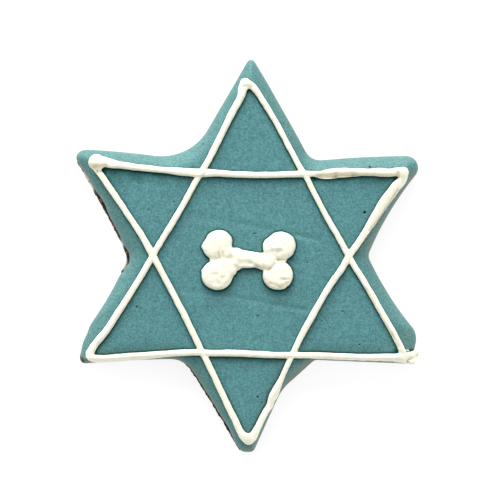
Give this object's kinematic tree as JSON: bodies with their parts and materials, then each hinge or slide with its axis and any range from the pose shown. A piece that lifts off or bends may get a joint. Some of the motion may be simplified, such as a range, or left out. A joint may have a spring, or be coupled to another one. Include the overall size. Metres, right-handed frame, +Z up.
{
  "type": "iced dog cookie",
  "caption": "Flat star-shaped biscuit under a skin of teal icing, with interlocked triangles and a bone piped on top in white icing.",
  "frame": {"origin": "middle of the cookie's outline, on the surface that it lies on", "axes": "+Z up out of the iced face, +Y towards the star's top point, +X to the right of the bone"},
  "size_m": [0.0872, 0.0997, 0.0118],
  "materials": {
    "baked_dough": "baked brown crust, dry and pitted",
    "teal_icing": "set icing, satin, faintly mottled",
    "white_icing": "set piped icing, satin"
  },
  "bodies": {
    "root": {"biscuit": "baked_dough", "icing_coat": "teal_icing", "piped_star": "white_icing", "piped_bone": "white_icing"}
  },
  "joints": []
}
